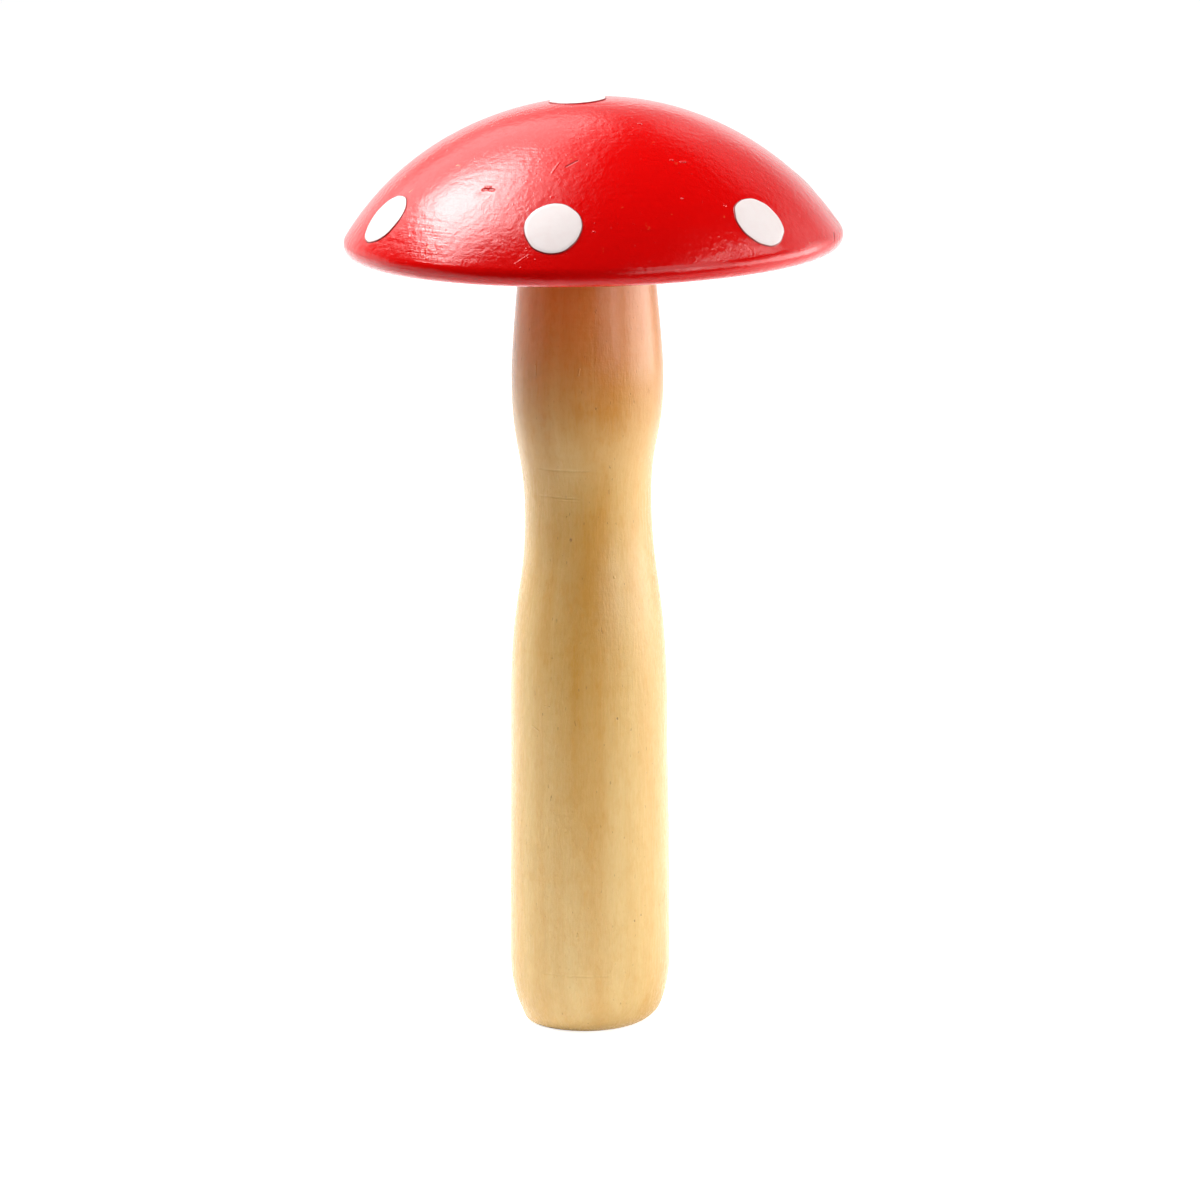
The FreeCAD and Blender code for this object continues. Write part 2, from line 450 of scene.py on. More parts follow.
def makeVarnishedWood():
    look = woodFinish
    material, tree, position = newFinish("varnishedWood")
    grain = useGroup(tree, turnedGrain, {"Position": position, "Pale": look["pale"], "Dark": look["dark"],
                                         "Painted Shade": fieldOf(tree, "paintedFrontShade")})
    along = fieldOf(tree, "along")
    lines = useGroup(tree, latheLines, {"Along": along, "Position": position, **look["lathe"]})
    dust = useGroup(tree, caughtDust, {"Position": position, **look["dust"]})
    bare = fieldOf(tree, "bare")
    paintedShadeUnderHead = fieldOf(tree, "paintedShadeUnderHead")
    marks = nicked(tree, position, look["nicks"])
    for height, width, facing, halfAngle, depth in look["toolMarks"]:
        turn = math.radians(facing)
        inputs = {"Position": position, "Height": height, "Width": width,
                  "Facing": (math.cos(turn), math.sin(turn), 0), "Reach": math.cos(math.radians(halfAngle))}
        marks = calc(tree, "MULTIPLY_ADD", useGroup(tree, toolMark, inputs)["Mask"], depth, marks)
    pores = noiseOf(tree, position, look["poreScale"], 2.0)
    ripple = noiseOf(tree, stretched(tree, position, *look["rippleScale"]), detail=2.0)
    smear = calc(tree, "MULTIPLY", fieldOf(tree, "smear"), ramped(tree, pores, *look["smearBreak"]))
    color = blended(tree, ramped(tree, lines["Streak"], *look["streaks"]), grain["Color"], look["dark"])
    # Painted shade and red bounce light under the head, and then the paler bare wood, multiplied in.
    for share, tint in ((paintedShadeUnderHead, look["paintedShadeUnderHead"]), (bare, look["bareTint"])):
        color = blended(tree, share, color, blended(tree, 1.0, color, tint, "MULTIPLY"))
    color = blended(tree, ramped(tree, marks, *look["markShade"]), color, look["markTint"])
    color = blended(tree, smear, color, look["smearTint"])
    least, byFibre, byPaintedShade = look["varnishRoughness"]
    gloss = calc(tree, "MULTIPLY_ADD", grain["Fibre"], byFibre, least)
    gloss = calc(tree, "MULTIPLY_ADD", paintedShadeUnderHead, byPaintedShade, gloss)
    rough = addNode(tree, "ShaderNodeMix", {0: bare, 2: gloss, 3: look["bareRoughness"]}, data_type="FLOAT")
    normal = bumped(tree, look["relief"], {
        "grain": grain["Relief"],
        "ripple": ripple,
        "lines": lines["Height"],
        "pores": pores,
        "dust": dust["Bump"],
        "marks": calc(tree, "MULTIPLY", marks, -1.0),
    })
    shaded(tree, {"Base Color": color, "Roughness": rough.outputs[0], "Normal": normal, **look["uniform"]})
    return material


redFinish = {
    "color": (0.780, 0.0006, 0.0005, 1),
    "deep": (0.570, 0.0003, 0.0002, 1),
    "sunkTint": (0.40, 0.002, 0.002, 1),   # down in the nicks, where they are as deep as this in mm
    "sunkDepth": (0.01, 0.08),
    "sunkShare": 0.7,
    "streaks": (0.40, 0.75, 0.0, 0.10),    # from and to of the turning lines' noise, and the shares of deep
    "lathe": {"Lines per mm": 1.7, "Run": 60.0},
    "dust": {"Cell": 4.2, "Size": 0.15, "Share": 0.2},
    "pits": {"Cell": 0.75, "Size": 0.14, "Share": 0.4},
    "pith": {"Pith X": 40.0, "Pith Y": 30.0},    # of the wood that is bare in the bore
    "boreEdge": (0.9, 0.62, 0.80),     # how unevenly the red runs out inside the seat, and from and to
    "patches": (0.40, 0.62, 0.25, 1.0),          # the turning lines' shares, by the patches' noise
    "smoothSide": (0.002, 0.012, 1.0, 0.25),     # the turning lines fade between the first two, in x
    "coarseScale": 520.0,          # of the noise, in waves per metre
    "peelScale": 1500.0,
    "patchScale": 95.0,
    "relief": {                    # depth in mm and strength of each
        "coarse": (0.10, 0.4),
        "lines": (0.085, 0.6),
        "peel": (0.085, 0.6),
        "pits": (0.032, 0.7),
        "dust": (0.045, 0.7),
        "marks": (1.0, 1.0),       # their own depths are in mm
    },
    "roughness": (0.14, 0.10, 0.5),    # at the least, and what the turning lines and the nicks add
    "uniform": {                   # half of the gloss is sharp, as on enamel rubbed down between coats
        "IOR": 1.45,
        "Specular IOR Level": 0.24,
        "Coat Weight": 0.52,
        "Coat IOR": 1.45,
        "Coat Roughness": 0.10,
    },
    "nicks": (                     # start, end, width and depth in mm; a depth below 0 is a raised fleck
        ((-10.30, -16.12, 90.34), (-9.98, -16.28, 90.38), 0.24, 0.07),
        ((-9.60, -16.50, 90.40), (-9.28, -16.70, 90.38), 0.28, 0.08),
        ((-10.05, -15.95, 90.62), (-9.60, -16.24, 90.62), 0.20, -0.08),
        ((-2.03, -16.27, 92.64), (-0.93, -15.61, 93.15), 0.15, 0.09),
        ((-3.43, -16.77, 92.11), (-2.73, -15.61, 92.96), 0.16, -0.02),
        ((-7.09, -24.01, 84.07), (-5.71, -23.80, 84.93), 0.12, -0.012),
        ((-5.81, -3.92, 96.51), (-5.55, -3.92, 96.51), 0.20, 0.09),
        ((5.34, -8.57, 95.93), (5.54, -8.57, 95.93), 0.18, -0.09),
        ((9.50, -13.90, 92.80), (9.85, -13.70, 92.75), 0.18, -0.10),
        ((13.82, -17.10, 88.76), (13.90, -17.05, 88.80), 0.16, -0.09),
        ((8.50, -14.10, 93.00), (8.60, -14.00, 93.00), 0.16, -0.09),
        ((9.51, -18.48, 89.73), (9.53, -18.46, 89.73), 0.15, -0.08),
        ((0.73, -23.00, 87.07), (0.75, -23.00, 87.07), 0.15, -0.08),
        ((24.83, -2.34, 85.87), (25.74, -1.44, 84.76), 0.16, 0.12),     # two chips in the rim
        ((25.11, -6.64, 84.44), (25.18, -8.24, 83.65), 0.13, 0.10),
        ((25.18, -8.24, 83.65), (25.09, -9.75, 82.96), 0.13, 0.10),
    ),
}


def makeRedEnamel():
    look = redFinish
    material, tree, position = newFinish("redEnamel")
    along = fieldOf(tree, "along")
    lines = useGroup(tree, latheLines, {"Along": along, "Position": position, **look["lathe"]})
    dust = useGroup(tree, caughtDust, {"Position": position, **look["dust"]})
    pits = useGroup(tree, caughtDust, {"Position": position, **look["pits"]})
    grain = useGroup(tree, turnedGrain, {"Position": position, "Pale": woodFinish["pale"],
                                         "Dark": woodFinish["dark"], **look["pith"]})
    peel = noiseOf(tree, position, look["peelScale"], 3.0, 0.6)
    coarse = noiseOf(tree, position, look["coarseScale"], 3.0, 0.6)
    uneven, start, end = look["boreEdge"]
    bare = ramped(tree, calc(tree, "MULTIPLY_ADD", coarse, uneven, fieldOf(tree, "intoBore")), start, end)
    marks = nicked(tree, position, look["nicks"])
    sunk = ramped(tree, marks, *look["sunkDepth"])
    color = blended(tree, ramped(tree, lines["Streak"], *look["streaks"]), look["color"], look["deep"])
    color = blended(tree, calc(tree, "MULTIPLY", sunk, look["sunkShare"]), color, look["sunkTint"])
    color = blended(tree, bare, color, grain["Color"])
    least, byLines, byNicks = look["roughness"]
    gloss = calc(tree, "MULTIPLY_ADD", lines["Streak"], byLines, least)
    rough = calc(tree, "MULTIPLY_ADD", calc(tree, "MAXIMUM", bare, sunk), byNicks, gloss)
    # The turning lines come and go in patches, and fade towards the right.
    patches = ramped(tree, noiseOf(tree, position, look["patchScale"], 2.0), *look["patches"])
    patches = calc(tree, "MULTIPLY", patches, ramped(tree, axesOf(tree, position)[0], *look["smoothSide"]))
    normal = bumped(tree, look["relief"], {
        "coarse": coarse,
        "lines": calc(tree, "MULTIPLY", lines["Height"], patches),
        "peel": peel,
        "pits": pits["Bump"],
        "dust": dust["Bump"],
        "marks": calc(tree, "MULTIPLY", marks, -1.0),
    })
    shaded(tree, {"Base Color": color, "Roughness": rough, "Normal": normal, "Coat Normal": normal,
                  **look["uniform"]})
    return material


whiteFinish = {
    "color": (0.98, 0.88, 0.86, 1),
    "mottle": (0.94, 0.79, 0.77, 1),
    "thinEdgeShade": (0.30, 0.002, 0.002, 1),   # where the dab runs out the paint is thin, and it is painted darker than the red as a thin outline of shade
    "edgeShadeFrom": (0.955, 0.985),            # shares of the way to the edge
    "edgeShadeWander": 0.02,                    # how far that moves in and out
    "mottled": (0.40, 0.75, 0.0, 0.35),    # from and to of the uneven noise, and the shares of mottle
    "dust": {"Cell": 1.8, "Size": 0.10, "Share": 0.25},
    "unevenScale": 900.0,          # of the noise, in waves per metre
    "fineScale": 2600.0,
    "relief": {                    # depth in mm and strength of each
        "uneven": (0.05, 0.4),
        "fine": (0.008, 0.4),
        "dust": (0.04, 0.6),
    },
    "roughness": (0.26, 0.16),     # at the least, and what the unevenness adds
    "uniform": {"IOR": 1.5},
}


def makeWhiteEnamel():
    look = whiteFinish
    material, tree, position = newFinish("whiteEnamel")
    uneven = noiseOf(tree, position, look["unevenScale"])
    fine = noiseOf(tree, position, look["fineScale"], 2.0)
    dust = useGroup(tree, caughtDust, {"Position": position, **look["dust"]})
    tint = blended(tree, ramped(tree, uneven, *look["mottled"]), look["color"], look["mottle"])
    # A thin dark red outline at the dab's edge: thin paint, painted darker as contact shade.
    outward = calc(tree, "MULTIPLY_ADD", uneven, look["edgeShadeWander"], fieldOf(tree, "edge"))
    edgeShade = ramped(tree, outward, *look["edgeShadeFrom"])
    color = blended(tree, edgeShade, tint, look["thinEdgeShade"])
    least, byUneven = look["roughness"]
    rough = calc(tree, "MULTIPLY_ADD", uneven, byUneven, least)
    normal = bumped(tree, look["relief"], {"uneven": uneven, "fine": fine, "dust": dust["Bump"]})
    shaded(tree, {"Base Color": color, "Roughness": rough, "Normal": normal, **look["uniform"]})
    return material


varnishedWood = makeVarnishedWood()
redEnamel = makeRedEnamel()
whiteEnamel = makeWhiteEnamel()
print("finishes made")


stemForm = {
    "columns": 256,
    "footFlat": 5.8,
    "footRise": 7.2,
    "grip": (8.4, 14.0),
    "hip": (8.25, 32.0),
    "waist": (6.62, 55.0),
    "belly": (7.9, 68.5),
    "shoulder": (6.85, 81.9),
    "shoulderTaper": 0.095,
    "shoulderBreak": 0.25,
    "ease": 0.5,
    "hipEase": 0.62,
    "waistEase": 0.38,
    "bellyEase": 0.2,
    "tenon": 4.5,
    "tenonTop": 92.15,
    "tenonChamfer": 0.6,
    "tenonFillet": 0.25,           # where the tenon meets the shoulder
    "tenonBreak": 0.1,             # the chamfer's own edges are broken by this much
    "centreMark": (0.7, 0.8, 0.12),          # the lathe centre's dimple: radius, depth, depth near its edge
    "waistSkew": (1.0, 11.0),      # the waist sits this much higher on the right, over this much height
    "footShift": (-0.5, 1.6),      # the flat was sanded off centre, to the left, and how far up that shows
    "outOfRound": 0.035,
    "wander": (11, 7, 60.0, 22.0), # of the out of round: seed, waves, longest and shortest
    "paintedShadeUnderHead": ((57, 64, 72, 80), (0, 0.25, 0.77, 1)),   # heights, and how much of the painted shade and red bounce tint is there
}


def bezier(start, startHandle, endHandle, end, count=80):
    # A cubic: each point is a mean of the four given ones, weighted by the usual cubic shares.
    gone = np.linspace(0, 1, count)[:, None]
    left = 1 - gone
    points = [np.asarray(point, float) for point in (start, startHandle, endHandle, end)]
    shares = (left ** 3, 3 * gone * left ** 2, 3 * gone ** 2 * left, gone ** 3)
    return sum(share * point for share, point in zip(shares, points))


def flowing(start, end, startEase, endEase, endTaper=0.0):
    rise = end[1] - start[1]
    startHandle = (start[0], start[1] + rise * startEase)
    endHandle = (end[0] + endTaper * rise * endEase, end[1] - rise * endEase)
    return bezier(start, startHandle, endHandle, end)


def flankPath():
    # The flank from the foot's flat to the shoulder, as (r, z).
    form = stemForm
    turn = np.linspace(0, math.pi / 2, 60)
    gripRadius = form["grip"][0]
    rounding = gripRadius - form["footFlat"]
    footRadius = form["footFlat"] + rounding * np.sin(turn)
    footHeight = form["footRise"] * (1 - np.cos(turn))
    return joined([
        np.stack([footRadius, footHeight], axis=-1),
        np.array([(gripRadius, form["footRise"]), form["grip"]]),
        flowing(form["grip"], form["hip"], form["ease"], form["ease"]),
        flowing(form["hip"], form["waist"], form["hipEase"], form["waistEase"]),
        flowing(form["waist"], form["belly"], form["ease"], form["ease"]),
        flowing(form["belly"], form["shoulder"], form["bellyEase"], form["ease"], form["shoulderTaper"]),
    ])


def stemProfile():
    # The whole outline as (r, z), from the dimple in the foot to the middle of the tenon's top.
    form = stemForm
    markRadius, markDepth, markLip = form["centreMark"]
    shoulderRadius, flankTop = form["shoulder"]
    shoulderBreak = form["shoulderBreak"]
    shoulderInside = shoulderRadius - shoulderBreak
    shoulderTop = flankTop + shoulderBreak
    tenon = form["tenon"]
    top = form["tenonTop"]
    chamfer = form["tenonChamfer"]
    fillet = form["tenonFillet"]
    edge = form["tenonBreak"]
    footPoints = [(0, markDepth), (markRadius * 0.9, markLip), (markRadius * 1.15, 0), (form["footFlat"], 0)]
    tenonPoints = [
        (tenon, shoulderTop + fillet),
        (tenon, top - chamfer - edge),
        (tenon - edge / 2, top - chamfer),
        (tenon - chamfer, top - edge / 2),
        (tenon - chamfer - edge, top),
        (0, top),
    ]
    return joined([
        *straightRuns(footPoints, (0.2, 0.08, 0.35)),
        spaced(flankPath(), 0.30),
        spaced(arcPath((shoulderInside, flankTop), shoulderBreak, math.pi / 2, 0), 0.09),
        spaced([(shoulderInside, shoulderTop), (tenon + fillet, shoulderTop)], 0.3),
        spaced(arcPath((tenon + fillet, shoulderTop + fillet), fillet, math.pi, 1.5 * math.pi), 0.1),
        *straightRuns(tenonPoints, (0.4, 0.06, 0.15, 0.06, 0.35)),
    ])


frontShadeForm = {                      # heights, and what the streak of painted shade up the front is there
    "facing": ((30, 40, 53, 62, 76), (-101, -99, -94, -89, -92)),
    "width": ((20, 36, 53, 62), (0.34, 0.36, 0.48, 0.60)),
    "strength": ((6, 26, 40, 54, 60, 66, 80), (0.0, 0.7, 1.0, 1.0, 0.35, 0.7, 0.7)),
    "share": 0.80,
}


def frontShadeStreak(angle, height):
    # A darker streak of painted shade up the front, where the stem gets least light: a Gaussian across the
    # angle, with its middle and width moving with the height, fading out towards the foot and below the head.
    facing, width, strength = (np.interp(height, *frontShadeForm[key]) for key in ("facing", "width", "strength"))
    turn = np.angle(np.exp(1j * (angle - np.radians(facing))))
    return frontShadeForm["share"] * np.exp(-(turn / width) ** 2) * strength


def makeStem():
    # Each ring is the profile's radius at a height that the skew moves, with a little out of round.
    # Point = (r cos a, r sin a, z). Near the foot, rings slide towards the flat's centre.
    form = stemForm
    columns = form["columns"]
    shoulderHeight = form["shoulder"][1]
    profile = stemProfile()
    angle = np.linspace(0, 2 * math.pi, columns, endpoint=False)
    radius = np.repeat(profile[:, :1], columns, axis=1)
    height = np.repeat(profile[:, 1:], columns, axis=1)
    flank = flankPath()
    onFlank = (radius > form["tenon"] + 1.5) & (height > 1.0) & (height < shoulderHeight - 0.5)
    waistSkew, skewReach = form["waistSkew"]
    skew = waistSkew * np.exp(-((height - form["waist"][1]) / skewReach) ** 2) * np.cos(angle)
    skewed = np.interp(height - skew, flank[:, 1], flank[:, 0])
    radius = np.where(onFlank, radius + skewed - np.interp(height, flank[:, 1], flank[:, 0]), radius)
    places = np.stack([radius * np.cos(angle), radius * np.sin(angle), height], axis=-1)
    fade = np.clip(height / 8.0, 0, 1) * np.clip((shoulderHeight - height) / 6.0, 0, 1)
    radius = radius + form["outOfRound"] * slowWaves(*form["wander"])(places) * fade * onFlank
    footShift, shiftReach = form["footShift"]
    slide = footShift * np.clip(1 - height / shiftReach, 0, 1) ** 2 * np.clip((radius - 1.5) / 2.5, 0, 1)
    rings = np.stack([radius * np.cos(angle) + slide, radius * np.sin(angle), height], axis=-1)
    fields = {
        "along": np.repeat(lengthAlong(profile)[:, None], columns, axis=1),
        "bare": np.clip((height - shoulderHeight + 0.1) / 0.4, 0, 1),
        "smear": np.clip(1 - abs(height - shoulderHeight) / 0.5, 0, 1) * (radius > form["tenon"] + 0.8),
        # painted shade up the front of the stem
        "paintedFrontShade": frontShadeStreak(angle, height),
        # painted shade and red bounce light under the head, by height
        "paintedShadeUnderHead": np.interp(height, *form["paintedShadeUnderHead"]) * (height < shoulderHeight),
    }
    stem = shellMesh("turnedStem", rings, fields, varnishedWood)
    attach(stem, "stem")
    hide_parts("stem")


makeStem()
print("stem turned")


headForm = {
    "columns": 480,
    "height": 15.7,
    "rim": 1.3,
    "lean": 0.95,                  # degrees; the right side rides high
    "offset": 0.7,
    "underside": 81.8,             # height of the underside above the foot
    "seatDepth": 0.35,
    "seat": 7.1,
    "bore": 4.53,
    "boreTop": 92.75,
    "boreMouth": 0.3,              # broken edges: where the bore opens, at its top, and in the seat's corner
    "boreEnd": 0.1,
    "seatCorner": 0.06,
    "waves": 0.030,
    "waveField": (23, 9, 34.0, 11.0),        # seed, waves, longest and shortest
    "dents": (                     # azimuth and polar angle in degrees, length, width and depth in mm, turn
        (-32.9, 40.2, 0.75, 0.42, 0.07, 8.0),
    ),
}
capLow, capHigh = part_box("cap")
capRadius = (capHigh.y - capLow.y) / 2 / mm
rimCentre = capRadius - headForm["rim"]
domeCentre = (headForm["height"] - rimCentre ** 2 / (headForm["height"] - 2 * headForm["rim"])) / 2
domeRadius = headForm["height"] - domeCentre
domeEnd = math.atan2(rimCentre, headForm["rim"] - domeCentre)
headWaves = slowWaves(*headForm["waveField"])


def onStem(points):
    # From the head's own frame to its place on the stem: turned about Y by the lean, moved over and lifted.
    lean = math.radians(headForm["lean"])
    sideways, deep, high = np.moveaxis(np.asarray(points, float), -1, 0)
    placedX = sideways * math.cos(lean) - high * math.sin(lean) + headForm["offset"]
    placedZ = sideways * math.sin(lean) + high * math.cos(lean) + headForm["underside"]
    return np.stack([placedX, deep, placedZ], axis=-1)


def domeDirection(polar, azimuth):
    # The unit vector at an angle from the crown and an azimuth from the front (-Y) towards the right (+X).
    return np.stack([np.sin(polar) * np.sin(azimuth), -np.sin(polar) * np.cos(azimuth), np.cos(polar)])


def tangents(direction):
    # Two unit vectors across a direction: one level, one up the dome.
    level = np.cross((0, 0, 1), direction)
    level = level / np.linalg.norm(level)
    return level, np.cross(direction, level)


def dentDepth(points):
    # Each dent is an oval pit with a slight raised lip. With q the distance from its middle over the oval's
    # radius there, it is depth (exp(-q^2) - 0.3 exp(-(q - 1.7)^2 / 0.2)) deep.
    total = np.zeros(points.shape[:-1])
    for azimuth, polar, length, width, depth, turn in headForm["dents"]:
        centre = domeDirection(math.radians(polar), math.radians(azimuth))
        level, upward = tangents(centre)
        across = (points / domeRadius - centre) * domeRadius
        sideways = across @ level
        high = across @ upward
        cosine = math.cos(math.radians(turn))
        sine = math.sin(math.radians(turn))
        square = ((sideways * cosine + high * sine) / length) ** 2
        square += ((high * cosine - sideways * sine) / width) ** 2
        total += depth * (np.exp(-square) - 0.30 * np.exp(-(np.sqrt(square) - 1.7) ** 2 / 0.2))
    return total


def domeLift(points):
    # How far the worked surface stands off the true sphere; points are relative to the sphere's centre.
    return headForm["waves"] * headWaves(points) - dentDepth(points)


def makeHead():
    # Dome, rim and underside are turned about the head's own axis; the seat and bore about the stem's.
    # The underside's rings are blended straight from the rim's to the seat's, and stay in its plane.
    form = headForm
    columns = form["columns"]
    azimuth = np.linspace(0, 2 * math.pi, columns, endpoint=False)
    around = np.stack([np.sin(azimuth), -np.cos(azimuth)], axis=-1)
    dome = spaced(arcPath((0, domeCentre), domeRadius, 0, domeEnd, 200), 0.30)
    rim = spaced(arcPath((rimCentre, form["rim"]), form["rim"], domeEnd, math.pi), 0.17)
    local = turnedRings(joined([dome, rim]), around)
    fromCentre = local - (0, 0, domeCentre)
    outward = fromCentre / np.linalg.norm(fromCentre, axis=-1, keepdims=True)
    fade = np.clip(np.arange(len(local))[::-1, None] / 6.0, 0, 1)
    skin = onStem(local + outward * (domeLift(fromCentre) * fade)[..., None])

    seat = form["seat"]
    seatFloor = form["underside"] + form["seatDepth"]
    seatX, seatY = seat * around.T
    seatZ = form["underside"] + (seatX - form["offset"]) * math.tan(math.radians(form["lean"]))
    share = np.linspace(0, 1, 44)[1:, None, None]
    underside = skin[-1] * (1 - share) + np.stack([seatX, seatY, seatZ], axis=-1) * share

    bore = form["bore"]
    top = form["boreTop"]
    mouth = form["boreMouth"]
    end = form["boreEnd"]
    corner = form["seatCorner"]
    insidePoints = [
        (seat, seatFloor - corner),
        (seat - corner, seatFloor),
        (bore + mouth, seatFloor),
        (bore, seatFloor + mouth),
        (bore, top - end),
        (bore - end, top),
        (0, top),
    ]
    inside = turnedRings(joined(straightRuns(insidePoints, (0.08, 0.4, 0.14, 0.45, 0.14, 0.5))), around)
    rings = np.concatenate([skin, underside, inside])
    along = lengthAlong(rings[:, 0])
    intoBore = np.clip((along - along[len(skin) + len(underside) - 1] + 0.3) / 1.2, 0, 1)
    # Crown first runs downwards, so the rings are turned over to face outwards.
    fields = {
        "along": np.repeat(along[::-1, None], columns, axis=1),
        "intoBore": np.repeat(intoBore[::-1, None], columns, axis=1),
    }
    head = shellMesh("enamelledHead", rings[::-1], fields, redEnamel)
    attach(head, "cap")
    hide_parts("cap")


makeHead()
print("head turned and enamelled")


spotForm = {
    "columns": 144,
    "thickness": 0.14,
    "ridge": 0.10,                 # share of the thickness that only the ridge round the edge has
    "ridgePlace": (0.87, 0.10),    # share of the way to the edge, and the ridge's width
    "fullness": 16,                # how squarely the dab ends
    "under": 0.06,                 # the dab is bedded this far into the red
    "crown": ("crown_spot", 2.95, -85.0, math.degrees(1.3 / domeRadius)),
    "rimRadius": 3.0,
    "rimSpots": ((-65.0, 0.9), (-10.0, 1.6), (45.9, 0.7), (107.5, 1.2), (170.0, 0.9), (232.5, 1.4)),
    "unevenness": 0.014,
    "lobes": (2, 3, 4, 5, 7, 11),  # waves round the outline
    "firstSeed": 40,
}


def makeSpot(name, radius, azimuthDegrees, polarDegrees, seed):
    # A dab: at share p of the way to the edge it stands t (1 - ridge + ridge exp(-((p - place) / width)^2))
    # sqrt(1 - p^fullness) proud. The edge's distance wavers with the angle round the spot.
    form = spotForm
    draw = np.random.default_rng(seed)
    turn = np.linspace(0, 2 * math.pi, form["columns"], endpoint=False)
    outline = np.ones_like(turn)
    for lobes in form["lobes"]:
        size = form["unevenness"] * draw.uniform(0.4, 1.2) * (2.0 / lobes) ** 0.6
        outline += size * np.cos(lobes * turn + draw.uniform(0, 2 * math.pi))
    topShare = np.concatenate([np.linspace(0, 0.72, 10), np.linspace(0.72, 0.96, 13)[1:],
                               1 - 0.04 * np.linspace(1, 0, 9)[1:] ** 2])
    bottomShare = np.linspace(1, 0, 8)[1:]
    place, width = form["ridgePlace"]
    crossSection = 1 - form["ridge"] + form["ridge"] * np.exp(-((topShare - place) / width) ** 2)
    proud = form["thickness"] * crossSection * np.sqrt(np.clip(1 - topShare ** form["fullness"], 0, 1))
    lift = np.concatenate([proud, np.full(len(bottomShare), -form["under"])])
    away = np.concatenate([topShare, bottomShare])[:, None] * outline * radius / domeRadius
    centre = domeDirection(math.radians(polarDegrees), math.radians(azimuthDegrees))
    level, upward = tangents(centre)
    sideways = np.cos(turn)[:, None] * level + np.sin(turn)[:, None] * upward
    direction = np.cos(away)[..., None] * centre + np.sin(away)[..., None] * sideways
    onSphere = direction * domeRadius
    raised = onSphere + direction * (domeLift(onSphere) + lift[:, None])[..., None]
    rings = onStem(raised + (0, 0, domeCentre))
    edge = np.concatenate([topShare, np.ones(len(bottomShare))])
    fields = {"edge": np.repeat(edge[::-1, None], form["columns"], axis=1)}
    return shellMesh(name, rings[::-1], fields, whiteEnamel)


def makeSpots():
    form = spotForm
    nodeName, radius, azimuth, polar = form["crown"]
    plans = [("crownSpot", nodeName, radius, azimuth, polar)]
    for number, (azimuth, gap) in enumerate(form["rimSpots"], start=1):
        polar = math.degrees(domeEnd - (form["rimRadius"] + gap) / domeRadius)
        plans.append((f"rimSpot{number}", f"rim_spot_{number}", form["rimRadius"], azimuth, polar))
    for number, (name, nodeName, radius, azimuth, polar) in enumerate(plans):
        spot = makeSpot(name, radius, azimuth, polar, form["firstSeed"] + number)
        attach(spot, "cap")
        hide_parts(nodeName)


makeSpots()
print("spots stamped")


studio = {
    "floorColors": ((0.90, 0.90, 0.90, 1), (0.45, 0.45, 0.45, 1)),    # a painted pool of light: pale near the object, and darker far off
    "paperEnd": (-0.15, -0.05),    # in front of the object the paper is painted dark as shade, fading between these in y
    "paperShade": (0.05, 0.05, 0.05, 1),
    "shadeGlow": 0.95,             # added there where the camera sees it
    "floorGlows": (0.72, 0.92),    # added where the camera sees the floor, up to white, near and far
    "floorReach": (0.10, 0.32),    # metres over which near becomes far
    "mirroredGlow": 0.9,           # added where a reflection sees it, so that it is about white
    "sweepEnd": (-0.05, 0.07),     # the white paper and sweep end along y + slant x, between these
    "slant": 0.33,
    "fill": 0.03,                  # the dim room above the sweep
    "sweepTop": (0.12, 0.42),      # the white sweep fades into the room between these (sine of elevation)
    "panels": (                    # name, place, aim, long side's way, width, length in metres, watts
        ("sheetLeft", (-0.283, 0.285, 0.527), (0, 0, 0.085), (0.134, 0.706, -0.186), 0.49, 0.67, 1.84),
        ("sheetEdge", (-0.043, 0.285, 0.698), (0, 0, 0.085), (0.134, 0.706, -0.186), 0.10, 0.67, 0.14),
        ("windowLeft", (-0.371, 0.143, 0.606), (0, 0, 0.085), (0.3, 1, -0.15), 0.35, 0.50, 3.90),
        ("coreLeft", (-0.40, 0.165, 0.585), (0, 0, 0.085), (0.3, 1, 0), 0.21, 0.27, 1.45),
        ("overLeft", (-0.19, 0.02, 0.65), (0, 0, 0.085), (0, 1, 0), 0.18, 0.40, 0.32),
        ("wallRight", (0.56, 0.17, 0.11), (0, 0, 0.05), (0, 0, 1), 0.46, 0.42, 0.75),
        ("highRight", (0.47, 0.295, 0.315), (0, 0, 0.08), (0, 0, 1), 0.22, 0.22, 0.12),
        ("stripRight", (0.356, -0.035, 0.412), (0.016, -0.020, 0.085), (0.22, 0.913, -0.343),
         0.014, 0.35, 0.19),
        ("frontRight", (0.48, -0.48, 0.44), (0, 0, 0.06), (0, 0, 1), 0.52, 0.50, 1.30),
        ("frontRightLow", (0.46, -0.50, 0.14), (0, 0, 0.07), (0, 0, 1), 0.70, 0.26, 0.92),
        ("glintRight", (0.30, -0.29, 0.10), (0, 0, 0.075), (0, 0, 1), 0.06, 0.14, 0.10),
        ("lowRight", (0.42, 0.02, 0.085), (0, 0, 0.045), (0, 1, 0), 0.16, 0.44, 0.84),
        ("lowLeft", (-0.42, 0.02, 0.045), (0, 0, 0.045), (0, 1, 0), 0.08, 0.36, 0.06),
        ("backRight", (0.30, 0.52, 0.43), (0, 0, 0.085), (0, 0, 1), 0.34, 0.36, 0.12),
        ("back", (0.0, 0.60, 0.35), (0, 0, 0.06), (1, 0, 0), 0.30, 0.40, 0.12),
    ),
    "lens": 172.9,
    "distance": 0.600,
    "elevation": 11.68,
    "middle": (0, 0, 0.049),       # the point of the object that the view was measured at
    "middlePixel": (588.2, 562.1),
    "roll": 0.27,                  # degrees; the stem's top leans left by this in the picture
}


